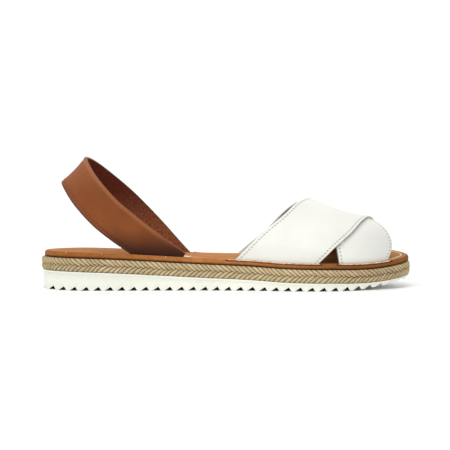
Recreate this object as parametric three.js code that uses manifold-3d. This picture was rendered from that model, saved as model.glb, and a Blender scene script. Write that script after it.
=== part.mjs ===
// Left avarca sandal with a rippled outsole, a braided jute midsole, a leather insole, a crossed vamp
// and a heel strap. Millimetres: +X points to the toe, -Y to the inner side of the foot, +Z up,
// the floor is z = 0 and the origin is under the middle of the sole.
import * as THREE from 'three';
import Module from 'manifold-3d';

const wasm = await Module();
wasm.setup();
const { lerp, smoothstep, degToRad, clamp } = THREE.MathUtils;

// Driving dimensions of the sole
const soleLength = 252;
const ballWidth = 90;
const toeSwing = 7; // the toe tip lies this far outward of the heel's middle
const heelRound = 36; // lengths over which the outline closes at its ends
const innerToeRound = 69;
const outerToeRound = 95;
const heelThickness = 12.6; // outsole, ripples included
const ballThickness = 5.2;
const toeThickness = 2;
const toeSpring = 5.6; // rise of the outsole's underside at the toe tip, by the spring alone
const springLength = 50;
const springPower = 1.4;
const outerLift = 12; // further rise of the forefoot towards its outer edge, at full width
const liftStart = 75; // stretch before the toe tip over which that rise sets in
const liftEnd = 10;
const outsoleInset = 0.6; // outsole wall behind the midsole's wall, at its lip and at the floor
const floorInset = 1.5;
const lipDepth = 0.4;
const lipHeight = 1.2;

// Ripples under the outsole: a flat tip, a long ramp and a steep drop
const ripplePitch = 7.75;
const rippleDepth = 2.5;
const rippleTip = 2.3;
const rippleRampShare = 0.7;
const rippleWallShare = 0.55; // most of the outsole's thickness that a ripple may take
const rippleStart = 3.5; // first groove's peak, from the heel end

// Jute midsole, two rows of slanted strands that meet in a groove at mid height
const midsoleThickness = 8.3;
const strandPitch = 3.6;
const strandRelief = 0.8;
const strandSlant = 4; // how far a strand runs forward from its outer end to the groove

// Insole
const insoleThickness = 3.9;
const insoleHeelInset = 2; // insole edge behind the midsole's wall
const insoleToeInset = 1;
const insoleRound = 1.4;
const heelCup = 1; // depth of the hollow under the heel
const cupStart = 0.05; // shares of the length between which that hollow fades out
const cupEnd = 0.45;
const slotInset = 5.2; // middle of a strap's slot behind the midsole's wall

// Straps
const vampWall = 1.9;
const vampBack = 129.3; // rear corner of the vamp, from the heel end
const vampLength = 105;
const instepHeight = 52; // crown of the vamp's form over the insole, at its back corner
const ridgeShare = 0.47; // place of the crown between the inner slots and the outer ones
const slotAngle = 24; // degrees by which a strap's arch goes on below the insole's top
const slotReach = 12; // depth that it would reach at a right angle
const strapFusion = 0.25; // how deep the upper strap is bonded into the lower one
const parting = 0.02; // shares of the crown between which the upper strap climbs onto the lower one
const crossing = 0.26;
const slingWall = 2.2;
const slingWidth = 24;
const slingFront = 82.3; // middle of the heel strap's slots, from the heel end
const slingReach = 60.6;
const slingHeight = 56.5;

const fitGap = 0.3; // between neighbouring pieces

// Fineness of the faces
const outsolePoints = 100;
const insolePoints = 88;
const groundPoints = 60;
const plainColumns = 3;
const bedColumns = 6;
const vampSteps = 40;
const vampColumns = 5;
const slingSteps = 44;
const slingColumns = 3;
const turnHalvings = 24;

// Outline and thickness along the sole, from heel to toe: inner and outer are shares of the ball
// width, wedge is the share of the heel's extra thickness, thin of the toe's lost thickness.
const soleRows = [
  { along: 0.0, inner: 0.355, outer: 0.355, wedge: 1.0, thin: 0.0 },
  { along: 0.12, inner: 0.356, outer: 0.356, wedge: 0.95, thin: 0.0 },
  { along: 0.25, inner: 0.345, outer: 0.375, wedge: 0.77, thin: 0.0 },
  { along: 0.42, inner: 0.332, outer: 0.4, wedge: 0.46, thin: 0.0 },
  { along: 0.55, inner: 0.353, outer: 0.512, wedge: 0.28, thin: 0.0 },
  { along: 0.65, inner: 0.395, outer: 0.59, wedge: 0.07, thin: 0.0 },
  { along: 0.73, inner: 0.412, outer: 0.607, wedge: 0.01, thin: 0.0 },
  { along: 0.8, inner: 0.402, outer: 0.613, wedge: 0.0, thin: 0.06 },
  { along: 0.9, inner: 0.372, outer: 0.6, wedge: 0.0, thin: 0.62 },
  { along: 1.0, inner: 0.34, outer: 0.54, wedge: 0.0, thin: 1.0 },
];

// Crown of the vamp's form along the sole, as a share of the instep height.
const crownRows = [
  { along: 0.53, rise: 1.0 },
  { along: 0.6, rise: 0.94 },
  { along: 0.726, rise: 0.771 },
  { along: 0.802, rise: 0.62 },
  { along: 0.869, rise: 0.52 },
  { along: 0.904, rise: 0.46 },
  { along: 0.954, rise: 0.33 },
];

// Edges of the upper strap over the arch, as shares of the vamp's length from its back corner.
// The angle runs from the inner slot over the crown to the outer one. The lower strap runs the
// other way, with edges of its own.
const strapRows = [
  { angle: 0, rear: 0.02, lowerRear: 0.035, front: 0.54, lowerFront: 0.54 },
  { angle: 20, rear: 0.178, lowerRear: 0.205, front: 0.66, lowerFront: 0.66 },
  { angle: 40, rear: 0.32, lowerRear: 0.33, front: 0.76, lowerFront: 0.76 },
  { angle: 65, rear: 0.43, lowerRear: 0.435, front: 0.84, lowerFront: 0.84 },
  { angle: 90, rear: 0.51, lowerRear: 0.512, front: 0.9, lowerFront: 0.915 },
  { angle: 115, rear: 0.56, lowerRear: 0.56, front: 0.95, lowerFront: 0.99 },
  { angle: 140, rear: 0.61, lowerRear: 0.61, front: 0.98, lowerFront: 1.026 },
  { angle: 160, rear: 0.647, lowerRear: 0.647, front: 0.99, lowerFront: 1.025 },
  { angle: 180, rear: 0.667, lowerRear: 0.667, front: 0.975, lowerFront: 0.995 },
];

// Middle line of the heel strap, from the inner slot round the back to the outer slot: side as a
// share of half the span between the slots, back of the reach, up of the height, lean in degrees
// of the strap's width above the floor, width as a share of the strap's width.
const slingRows = [
  { side: -0.98, back: -0.165, up: -0.125, lean: 54, width: 0.9 },
  { side: -1.0, back: 0.191, up: 0.149, lean: 54, width: 0.9 },
  { side: -1.04, back: 0.42, up: 0.332, lean: 50, width: 0.95 },
  { side: -1.02, back: 0.618, up: 0.509, lean: 46, width: 0.97 },
  { side: -0.88, back: 0.812, up: 0.732, lean: 46, width: 0.98 },
  { side: -0.58, back: 0.929, up: 0.894, lean: 45, width: 0.98 },
  { side: -0.12, back: 1.0, up: 1.0, lean: 46, width: 1.0 },
  { side: 0.3, back: 0.949, up: 0.993, lean: 43, width: 0.98 },
  { side: 0.65, back: 0.79, up: 0.863, lean: 43, width: 0.97 },
  { side: 0.93, back: 0.52, up: 0.605, lean: 44, width: 0.98 },
  { side: 1.0, back: 0.215, up: 0.283, lean: 44, width: 0.94 },
  { side: 1.0, back: -0.083, up: -0.06, lean: 44, width: 0.9 },
  { side: 0.98, back: -0.235, up: -0.23, lean: 44, width: 0.9 },
];

// Value of a table's column at a place between its rows, by a smooth cubic through the rows.
function read(table, key, column, at) {
  const last = table.length - 1;
  const place = clamp(at, table[0][key], table[last][key]);
  let i = 0;
  while (i < last - 1 && place > table[i + 1][key]) i += 1;
  const slope = (k) => {
    const before = table[Math.max(k - 1, 0)];
    const after = table[Math.min(k + 1, last)];
    return (after[column] - before[column]) / (after[key] - before[key]);
  };
  const span = table[i + 1][key] - table[i][key];
  const t = (place - table[i][key]) / span;
  const start = (1 + 2 * t) * (1 - t) ** 2 * table[i][column] + t * (1 - t) ** 2 * span * slope(i);
  const end = t * t * (3 - 2 * t) * table[i + 1][column] + t * t * (t - 1) * span * slope(i + 1);
  return start + end;
}

// Share of full width that an elliptical end leaves at a distance from its tip.
function roundedEnd(distance, length) {
  const rest = 1 - clamp(distance / length, 0, 1);
  return Math.sqrt(1 - rest * rest);
}

// Outline of the sole: turn 0 is the heel tip, half a turn on the inner side the toe tip.
function rawEdge(turn) {
  const along = (1 - Math.cos(turn)) / 2;
  const inner = Math.sin(turn) >= 0;
  const fromHeel = along * soleLength;
  const toeRound = inner ? innerToeRound : outerToeRound;
  const width = ballWidth * read(soleRows, 'along', inner ? 'inner' : 'outer', along);
  const closing = roundedEnd(fromHeel, heelRound) * roundedEnd(soleLength - fromHeel, toeRound);
  const side = toeSwing * along + (inner ? -width : width) * closing;
  return new THREE.Vector2(fromHeel - soleLength / 2, side);
}

const outlineSteps = 720;
const fullTurn = 2 * Math.PI;
const rawOutline = Array.from({ length: outlineSteps }, (_, i) => rawEdge((fullTurn * i) / outlineSteps));
const outlineBox = new THREE.Box2().setFromPoints(rawOutline);
const sideShift = -(outlineBox.min.y + outlineBox.max.y) / 2;

// A point of the outline moved inward by an inset.
function soleEdge(turn, inset) {
  const small = 1e-3;
  const before = rawEdge(turn - small);
  const after = rawEdge(turn + small);
  const run = after.clone().sub(before).normalize();
  const point = rawEdge(turn);
  return new THREE.Vector2(point.x - run.y * inset, point.y + run.x * inset + sideShift);
}

// Side position of the inset outline at a place along the shoe, by halving the turn.
function edgeAt(x, outer, inset) {
  let low = 0;
  let high = Math.PI;
  for (let step = 0; step < turnHalvings; step += 1) {
    const middle = (low + high) / 2;
    if (soleEdge(outer ? -middle : middle, inset).x < x) low = middle;
    else high = middle;
  }
  return soleEdge(outer ? -low : low, inset).y;
}

// Turns that share the outline's length evenly, starting a little way along it.
const outlineLengths = [0];
rawOutline.forEach((point, i) => {
  const step = point.distanceTo(rawOutline[(i + 1) % outlineSteps]);
  outlineLengths.push(outlineLengths[i] + step);
});
const outlineLength = outlineLengths[outlineSteps];
function turnAtLength(length) {
  const wanted = ((length % outlineLength) + outlineLength) % outlineLength;
  let i = 0;
  while (outlineLengths[i + 1] < wanted) i += 1;
  const part = (wanted - outlineLengths[i]) / (outlineLengths[i + 1] - outlineLengths[i]);
  return (fullTurn * (i + part)) / outlineSteps;
}

// Heights along the sole, from the outsole's underside up
function underside(x) {
  const sprung = (x - soleLength / 2 + springLength) / springLength;
  return toeSpring * Math.max(0, sprung) ** springPower;
}

function outsoleTop(x) {
  const along = x / soleLength + 0.5;
  const wedge = (heelThickness - ballThickness) * read(soleRows, 'along', 'wedge', along);
  const thinned = (ballThickness - toeThickness) * read(soleRows, 'along', 'thin', along);
  return underside(x) + ballThickness + wedge - thinned;
}

// Rise of the forefoot towards its outer edge, which every piece shares.
function forefootLift(x, y) {
  const fromToe = soleLength / 2 - x;
  const outward = clamp((y + ballWidth / 2) / ballWidth, 0, 1);
  return outerLift * (1 - smoothstep(fromToe, liftEnd, liftStart)) * outward ** 2;
}

const midsoleBottom = (x) => outsoleTop(x) + fitGap;
const midsoleTop = (x) => midsoleBottom(x) + midsoleThickness;
const insoleBottom = (x) => midsoleTop(x) + fitGap;
const insoleTop = (x) => insoleBottom(x) + insoleThickness;

// A closed solid from points and triangles.
function solidOf(points, faces) {
  const vertProperties = new Float32Array(points.flatMap((p) => [p.x, p.y, p.z]));
  const triVerts = new Uint32Array(faces.flat());
  return new wasm.Manifold(new wasm.Mesh({ numProp: 3, vertProperties, triVerts }));
}

// Closes a ring of the outline with rows that join its inner and outer points.
function addCap(points, faces, first, count, columns, height, upward) {
  const half = count / 2;
  const rowAt = (j) => {
    if (j === 0 || j === half) return [first + (j % count)];
    const inner = points[first + j];
    const outer = points[first + count - j];
    const row = [first + j];
    for (let k = 1; k < columns; k += 1) {
      const point = inner.clone().lerp(outer, k / columns);
      point.z = height(point.x, k / columns);
      row.push(points.push(point) - 1);
    }
    row.push(first + count - j);
    return row;
  };
  let back = rowAt(0);
  for (let j = 1; j <= half; j += 1) {
    const front = rowAt(j);
    for (let k = 0; k < columns; k += 1) {
      const a = back[Math.min(k, back.length - 1)];
      const b = front[Math.min(k, front.length - 1)];
      const c = front[Math.min(k + 1, front.length - 1)];
      const d = back[Math.min(k + 1, back.length - 1)];
      const pair = [[a, b, c], [a, c, d]].filter((t) => new Set(t).size === 3);
      pair.forEach((t) => faces.push(upward ? t : [t[0], t[2], t[1]]));
    }
    back = front;
  }
}

// A plate from rings that follow the outline, listed from the lowest up.
function plateOf(rings, columns, topHeight, bottomHeight) {
  const points = rings.flat();
  const count = rings[0].length;
  const faces = [];
  for (let level = 0; level < rings.length - 1; level += 1) {
    const low = level * count;
    const high = low + count;
    for (let i = 0; i < count; i += 1) {
      const next = (i + 1) % count;
      faces.push([low + i, low + next, high + next], [low + i, high + next, high + i]);
    }
  }
  addCap(points, faces, 0, count, plainColumns, bottomHeight, false);
  addCap(points, faces, (rings.length - 1) * count, count, columns, topHeight, true);
  return solidOf(points, faces);
}

// One ring of a plate: evenly turned points at an inset, with their height from a function of x.
function ringOf(count, inset, height, toeInset = inset) {
  return Array.from({ length: count }, (_, i) => {
    const turn = (fullTurn * i) / count;
    const point = soleEdge(turn, lerp(inset, toeInset, (1 - Math.cos(turn)) / 2));
    return new THREE.Vector3(point.x, point.y, height(point.x));
  });
}

// A strap from its two faces, each a grid of points with a row for each step along the strap.
function strapOf(outerRows, innerRows) {
  const columns = outerRows[0].length;
  const points = [...outerRows.flat(), ...innerRows.flat()];
  const offset = outerRows.length * columns;
  const at = (side, row, column) => side * offset + row * columns + column;
  const faces = [];
  const quad = (a, b, c, d) => faces.push([a, b, c], [a, c, d]);
  for (let row = 0; row < outerRows.length - 1; row += 1) {
    for (let column = 0; column < columns - 1; column += 1) {
      const near = [at(0, row, column), at(0, row, column + 1)];
      const far = [at(0, row + 1, column), at(0, row + 1, column + 1)];
      quad(near[0], near[1], far[1], far[0]);
      quad(near[0] + offset, far[0] + offset, far[1] + offset, near[1] + offset);
    }
    const edge = columns - 1;
    quad(at(0, row, 0), at(0, row + 1, 0), at(1, row + 1, 0), at(1, row, 0));
    quad(at(0, row, edge), at(1, row, edge), at(1, row + 1, edge), at(0, row + 1, edge));
  }
  const end = outerRows.length - 1;
  for (let column = 0; column < columns - 1; column += 1) {
    quad(at(0, 0, column), at(1, 0, column), at(1, 0, column + 1), at(0, 0, column + 1));
    quad(at(0, end, column), at(0, end, column + 1), at(1, end, column + 1), at(1, end, column));
  }
  return solidOf(points, faces);
}

// Strap faces half a wall to each side of a surface that is given by two shares.
function strapOn(surface, steps, columns, halfWall) {
  const small = 1e-3;
  const faceAt = (offset) =>
    Array.from({ length: steps + 1 }, (_, i) =>
      Array.from({ length: columns + 1 }, (_, j) => {
        const u = clamp(i / steps, small, 1 - small);
        const v = clamp(j / columns, small, 1 - small);
        const alongStrap = surface(u + small, v).sub(surface(u - small, v));
        const acrossStrap = surface(u, v + small).sub(surface(u, v - small));
        const normal = acrossStrap.cross(alongStrap).normalize();
        return surface(i / steps, j / columns).addScaledVector(normal, offset);
      }),
    );
  return strapOf(faceAt(halfWall), faceAt(-halfWall));
}

// Outsole: a plate with a lip under the midsole, cut from below by the ripples.
function outsoleSolid() {
  const belowFloor = -2;
  const wallTop = (x) => outsoleTop(x) - lipHeight;
  const rings = [
    ringOf(outsolePoints, floorInset, () => belowFloor),
    ringOf(outsolePoints, outsoleInset + lipDepth, wallTop),
    ringOf(outsolePoints, outsoleInset, (x) => wallTop(x) + lipDepth),
    ringOf(outsolePoints, outsoleInset, outsoleTop),
  ];
  return plateOf(rings, plainColumns, outsoleTop, () => belowFloor).subtract(rippleCutter());
}

// Everything below the rippled underside, straight across the sole.
function rippleCutter() {
  const ramp = (ripplePitch - rippleTip) * rippleRampShare;
  const drop = ripplePitch - rippleTip - ramp;
  const margin = 10;
  const start = -soleLength / 2 + rippleStart - ripplePitch;
  const profile = new THREE.Shape();
  profile.moveTo(start - margin, -margin);
  profile.lineTo(start - margin, 0);
  for (let peak = start; peak < soleLength / 2 + ripplePitch; peak += ripplePitch) {
    profile.lineTo(peak - ramp, underside(peak - ramp));
    const wall = outsoleTop(peak) - underside(peak);
    profile.lineTo(peak, underside(peak) + Math.min(rippleDepth, rippleWallShare * wall));
    profile.lineTo(peak + drop, underside(peak + drop));
  }
  profile.lineTo(soleLength / 2 + ripplePitch + margin, -margin);
  const geometry = new THREE.ExtrudeGeometry(profile, { depth: 2 * ballWidth, bevelEnabled: false });
  geometry.rotateX(Math.PI / 2).translate(0, ballWidth, 0);
  return solidOfGeometry(geometry);
}

// A solid from a three.js geometry, with points that share a place joined.
function solidOfGeometry(geometry) {
  const position = geometry.getAttribute('position');
  const places = new Map();
  const points = [];
  const order = [];
  for (let i = 0; i < position.count; i += 1) {
    const point = new THREE.Vector3().fromBufferAttribute(position, i);
    const place = point.toArray().map((value) => value.toFixed(4)).join();
    if (!places.has(place)) places.set(place, points.push(point) - 1);
    order.push(places.get(place));
  }
  const faces = [];
  for (let i = 0; i < order.length; i += 3) faces.push(order.slice(i, i + 3));
  return solidOf(points, faces);
}

// Jute midsole: each ring runs crest, groove, crest, and is shifted along the outline so that
// the crests of neighbouring rings form strands that slant forward to the groove at mid height.
function midsoleSolid() {
  const strands = Math.round(outlineLength / strandPitch);
  const pitch = outlineLength / strands;
  const levels = [
    { height: 0, crest: 1.3, groove: 1.6 },
    { height: 0.22, crest: 0, groove: 1 },
    { height: 0.5, crest: 0.9, groove: 1.4 },
    { height: 0.78, crest: 0, groove: 1 },
    { height: 1, crest: 1.3, groove: 1.6 },
  ];
  const rings = levels.map(({ height, crest, groove }) => {
    const shift = strandSlant * (1 - Math.abs(2 * height - 1));
    return Array.from({ length: 2 * strands }, (_, i) => {
      const inset = strandRelief * (i % 2 ? groove : crest);
      const point = soleEdge(turnAtLength((i * pitch) / 2 + shift), inset);
      return new THREE.Vector3(point.x, point.y, midsoleBottom(point.x) + height * midsoleThickness);
    });
  });
  return plateOf(rings, plainColumns, midsoleTop, midsoleBottom);
}

// Insole: a rounded rim round a bed that is hollowed under the heel, slotted for the straps.
function insoleSolid(cutters) {
  const ring = (depth, height) =>
    ringOf(insolePoints, insoleHeelInset + depth, height, insoleToeInset + depth);
  const shelf = (depth, drop) => ring(depth, (x) => insoleTop(x) - drop);
  const rings = [
    ring(insoleRound / 2, insoleBottom),
    shelf(0, insoleThickness - insoleRound / 2),
    shelf(0, insoleRound),
    shelf(insoleRound * 0.3, insoleRound * 0.3),
    shelf(insoleRound, 0),
  ];
  const bed = (x, across) => {
    const heelward = 1 - smoothstep(x / soleLength + 0.5, cupStart, cupEnd);
    return insoleTop(x) - heelCup * heelward * Math.sin(Math.PI * across);
  };
  const whole = plateOf(rings, bedColumns, bed, insoleBottom);
  return cutters.reduce((rest, cutter) => rest.subtract(cutter), whole);
}

// Everything below the straps' ends, which stop just over the midsole.
function belowStraps() {
  const outward = -20;
  const rings = [
    ringOf(groundPoints, outward, () => -ballWidth),
    ringOf(groundPoints, outward, (x) => insoleBottom(x)),
  ];
  return plateOf(rings, plainColumns, insoleBottom, () => -ballWidth);
}

// The vamp's form: an arch over the forefoot between the two slots.
function archPoint(x, angle, lift) {
  const base = insoleTop(x);
  const inner = edgeAt(x, false, slotInset);
  const outer = edgeAt(x, true, slotInset);
  const ridge = lerp(inner, outer, ridgeShare);
  const crown = instepHeight * read(crownRows, 'along', 'rise', x / soleLength + 0.5);
  const cosine = Math.cos(angle);
  const reach = cosine > 0 ? ridge - inner : outer - ridge;
  const rise = Math.sin(angle) * (Math.sin(angle) < 0 ? slotReach : crown);
  const swell = 1 + lift / Math.max(crown, reach);
  return new THREE.Vector3(x, ridge - cosine * reach * swell, base + rise * swell);
}

// One strap of the vamp. The lower strap is the upper one's mirror and lies one wall further in.
function vampStrap(upper, grow) {
  const below = degToRad(slotAngle);
  const surface = (u, v) => {
    const angle = lerp(-below, Math.PI + below, u);
    const mirrored = upper ? angle : Math.PI - angle;
    const degrees = clamp(THREE.MathUtils.radToDeg(mirrored), 0, 180);
    const edge = (column) => read(strapRows, 'angle', column, degrees) * vampLength;
    const rear = edge(upper ? 'rear' : 'lowerRear') - grow;
    const front = edge(upper ? 'front' : 'lowerFront') + grow;
    const x = vampBack - soleLength / 2 + lerp(rear, front, v);
    const climb = Math.sin(clamp(angle, 0, Math.PI));
    const lift = upper ? (vampWall - strapFusion) * smoothstep(climb, parting, crossing) : 0;
    return archPoint(x, angle, lift);
  };
  return strapOn(surface, vampSteps, vampColumns, vampWall / 2 + grow);
}

// Heel strap: a band swept along its middle line.
function slingStrap(grow) {
  const slotX = slingFront - soleLength / 2;
  const inner = edgeAt(slotX, false, slotInset);
  const outer = edgeAt(slotX, true, slotInset);
  const edgeOf = (sign) => {
    const places = slingRows.map((row) => {
      const half = sign * ((slingWidth * row.width) / 2 + grow);
      const lean = degToRad(row.lean);
      const x = slotX - row.back * slingReach + half * Math.cos(lean);
      const y = lerp(inner, outer, (row.side + 1) / 2);
      const z = insoleTop(slotX) + row.up * slingHeight + half * Math.sin(lean);
      return new THREE.Vector3(x, y, z);
    });
    return new THREE.CatmullRomCurve3(places, false, 'catmullrom');
  };
  const low = edgeOf(-1);
  const high = edgeOf(1);
  const surface = (u, v) => low.getPoint(clamp(u, 0, 1)).lerp(high.getPoint(clamp(u, 0, 1)), v);
  return strapOn(surface, slingSteps, slingColumns, slingWall / 2 + grow);
}

const ground = belowStraps();
const vampSolid = vampStrap(true, 0).add(vampStrap(false, 0)).subtract(ground);
const slingSolid = slingStrap(0).subtract(ground);
const slotCutters = [vampStrap(true, fitGap), vampStrap(false, fitGap), slingStrap(fitGap)];

// A named mesh from a solid, raised with the outer forefoot.
function meshOf(name, solid, colour, roughness) {
  const { vertProperties, triVerts } = solid.getMesh();
  const places = new THREE.BufferAttribute(new Float32Array(vertProperties), 3);
  for (let i = 0; i < places.count; i += 1) {
    places.setZ(i, places.getZ(i) + forefootLift(places.getX(i), places.getY(i)));
  }
  const geometry = new THREE.BufferGeometry();
  geometry.setAttribute('position', places);
  geometry.setIndex(new THREE.BufferAttribute(new Uint32Array(triVerts), 1));
  geometry.computeVertexNormals();
  const material = new THREE.MeshStandardMaterial({ color: colour, roughness, metalness: 0 });
  const mesh = new THREE.Mesh(geometry, material);
  mesh.name = name;
  return mesh;
}

const sandal = new THREE.Group();
sandal.name = 'sandal';
sandal.add(meshOf('outsole', outsoleSolid(), 0xecefe2, 0.55));
sandal.add(meshOf('jute_midsole', midsoleSolid(), 0xc3ac7e, 0.95));
sandal.add(meshOf('insole', insoleSolid(slotCutters), 0xb9794a, 0.6));
sandal.add(meshOf('vamp', vampSolid, 0xf2f2ea, 0.5));
sandal.add(meshOf('heel_strap', slingSolid, 0x85512f, 0.55));

export default sandal;
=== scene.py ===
import bpy
import numpy as np
from mathutils import Matrix, Vector


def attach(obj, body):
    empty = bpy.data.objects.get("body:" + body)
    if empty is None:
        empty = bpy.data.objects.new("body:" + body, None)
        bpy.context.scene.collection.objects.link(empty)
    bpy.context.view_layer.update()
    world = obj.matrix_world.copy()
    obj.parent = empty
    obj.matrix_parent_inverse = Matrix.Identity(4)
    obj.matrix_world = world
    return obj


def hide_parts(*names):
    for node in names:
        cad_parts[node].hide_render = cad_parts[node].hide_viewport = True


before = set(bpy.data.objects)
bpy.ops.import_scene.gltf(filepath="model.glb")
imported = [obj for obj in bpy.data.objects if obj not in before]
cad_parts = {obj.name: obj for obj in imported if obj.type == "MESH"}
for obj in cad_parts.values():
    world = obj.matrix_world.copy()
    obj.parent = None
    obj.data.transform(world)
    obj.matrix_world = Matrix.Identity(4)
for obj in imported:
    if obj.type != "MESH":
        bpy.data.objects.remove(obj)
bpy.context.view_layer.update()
print("frame loaded")

# Left avarca sandal: rippled outsole, jute braid, leather insole, two crossed straps, heel strap.
# Shapes are worked out in millimetres and go into the meshes in metres. +X points to the toe,
# -Y to the inner side of the foot, +Z up, and the floor is z = 0.
soleForm = {
    "length": 252.0,
    "ballWidth": 90.0,
    "toeSwing": 7.0,  # how far outward the toe tip lies
    "heelRound": 36.0,  # stretches over which the outline closes
    "innerToeRound": 69.0,
    "outerToeRound": 95.0,
    "heelThickness": 12.6,
    "ballThickness": 5.2,
    "toeThickness": 2.0,
    "toeSpring": 5.6,
    "springLength": 50.0,
    "springPower": 1.4,
    "outerLift": 12.0,  # rise of the forefoot's outer edge
    "liftStart": 75.0,
    "liftEnd": 10.0,
    "midsole": 8.3,
    "insole": 3.9,
    "gap": 0.3,
}
# along, inner and outer half widths as shares of the ball width, wedge at the heel, thinning at the toe
soleRows = np.array([
    (0.0, 0.355, 0.355, 1.0, 0.0),
    (0.12, 0.356, 0.356, 0.95, 0.0),
    (0.25, 0.345, 0.375, 0.77, 0.0),
    (0.42, 0.332, 0.4, 0.46, 0.0),
    (0.55, 0.353, 0.512, 0.28, 0.0),
    (0.65, 0.395, 0.59, 0.07, 0.0),
    (0.73, 0.412, 0.607, 0.01, 0.0),
    (0.8, 0.402, 0.613, 0.0, 0.06),
    (0.9, 0.372, 0.6, 0.0, 0.62),
    (1.0, 0.34, 0.54, 0.0, 1.0),
])
fullTurn = 2 * np.pi
halfLength = soleForm["length"] / 2


def smoothStep(value, low, high):
    share = np.clip((value - low) / (high - low), 0, 1)
    return share * share * (3 - 2 * share)


def unit(vectors):
    return vectors / np.linalg.norm(vectors, axis=-1, keepdims=True)


def lengthsAlong(line):
    # distance walked from the first point of a line to each of its points
    return np.concatenate([[0], np.cumsum(np.linalg.norm(np.diff(line, axis=0), axis=-1))])


def beyondSpan(x, first, last):
    # how far a place lies outside a stretch along the shoe
    return np.maximum(np.maximum(first - x, x - last), 0)


def readRows(rows, column, at):
    # smooth cubic through the rows of a table, with each row's slope taken from its neighbours
    key, value = rows[:, 0], rows[:, column]
    last = len(key) - 1
    before = np.maximum(np.arange(last + 1) - 1, 0)
    after = np.minimum(np.arange(last + 1) + 1, last)
    slope = (value[after] - value[before]) / (key[after] - key[before])
    place = np.clip(at, key[0], key[last])
    i = np.clip(np.searchsorted(key, place, side="left") - 1, 0, last - 1)
    span = key[i + 1] - key[i]
    t = (place - key[i]) / span
    start = (1 + 2 * t) * (1 - t) ** 2 * value[i] + t * (1 - t) ** 2 * span * slope[i]
    return start + t * t * (3 - 2 * t) * value[i + 1] + t * t * (t - 1) * span * slope[i + 1]


def roundedEnd(distance, length):
    # share of full width near an elliptical end
    return np.sqrt(1 - (1 - np.clip(distance / length, 0, 1)) ** 2)


def rawEdge(turn):
    # outline: turn 0 is the heel tip, half a turn along the inner side the toe tip
    along = (1 - np.cos(turn)) / 2
    inner = np.sin(turn) >= 0
    fromHeel = along * soleForm["length"]
    toeRound = np.where(inner, soleForm["innerToeRound"], soleForm["outerToeRound"])
    share = np.where(inner, readRows(soleRows, 1, along), readRows(soleRows, 2, along))
    closing = roundedEnd(fromHeel, soleForm["heelRound"])
    closing = closing * roundedEnd(soleForm["length"] - fromHeel, toeRound)
    width = soleForm["ballWidth"] * share * closing
    side = soleForm["toeSwing"] * along + np.where(inner, -width, width)
    return np.stack([fromHeel - halfLength, side], axis=-1)


outlineTurns = np.linspace(0, fullTurn, 7201)
rawOutline = rawEdge(outlineTurns)
sideShift = -(rawOutline[:, 1].min() + rawOutline[:, 1].max()) / 2
outlineLengths = lengthsAlong(rawOutline)
outlineLength = outlineLengths[-1]
halfTurns = np.linspace(0, np.pi, 4001)


def soleEdge(turn, inset):
    # a point of the outline moved inward by an inset, square to the outline
    small = 1e-3
    run = unit(rawEdge(turn + small) - rawEdge(turn - small))
    x, y = np.moveaxis(rawEdge(turn), -1, 0)
    return np.stack([x - run[..., 1] * inset, y + run[..., 0] * inset + sideShift], axis=-1)


def turnAt(length):
    return np.interp(np.mod(length, outlineLength), outlineLengths, outlineTurns)


def edgeAt(x, outer, inset):
    # side position of the inset outline at a place along the shoe
    edge = soleEdge(-halfTurns if outer else halfTurns, inset)
    return np.interp(x, edge[:, 0], edge[:, 1])


def underside(x):
    sprung = np.maximum(0, (x - halfLength + soleForm["springLength"]) / soleForm["springLength"])
    return soleForm["toeSpring"] * sprung ** soleForm["springPower"]


def outsoleTop(x):
    along = x / soleForm["length"] + 0.5
    wedge = (soleForm["heelThickness"] - soleForm["ballThickness"]) * readRows(soleRows, 3, along)
    thinned = (soleForm["ballThickness"] - soleForm["toeThickness"]) * readRows(soleRows, 4, along)
    return underside(x) + soleForm["ballThickness"] + wedge - thinned


def midsoleBottom(x):
    return outsoleTop(x) + soleForm["gap"]


def midsoleTop(x):
    return midsoleBottom(x) + soleForm["midsole"]


def insoleTop(x):
    return midsoleTop(x) + soleForm["gap"] + soleForm["insole"]


def forefootLift(x, y):
    outward = np.clip((y + soleForm["ballWidth"] / 2) / soleForm["ballWidth"], 0, 1)
    fade = 1 - smoothStep(halfLength - x, soleForm["liftEnd"], soleForm["liftStart"])
    return soleForm["outerLift"] * fade * outward ** 2


def gridQuads(index):
    # quads between the neighbouring rows and columns of a table of vertex numbers
    cells = [index[:-1, :-1], index[1:, :-1], index[1:, 1:], index[:-1, 1:]]
    return np.stack(cells, axis=-1).reshape(-1, 4)


def closedTube(rows, columns):
    # quads of a tube whose rows are closed rings, with both ends closed by quads straight across
    index = np.arange(rows * columns).reshape(rows, columns)
    index = np.hstack([index, index[:, :1]])
    ends = []
    for ring in (index[0, :-1], index[-1, ::-1][:-1]):
        half = len(ring) // 2
        ends.append(gridQuads(np.stack([ring[:half], ring[::-1][:half]])))
    return np.concatenate([gridQuads(index), *ends])


def joined(parts):
    # the points and quads of several meshes as one mesh
    starts = np.cumsum([0] + [len(part[0]) for part in parts[:-1]])
    quads = [part[1] + start for part, start in zip(parts, starts)]
    return np.concatenate([part[0] for part in parts]), np.concatenate(quads)


def linked(name, data):
    made = bpy.data.objects.new(name, data)
    bpy.context.scene.collection.objects.link(made)
    return made


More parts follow.
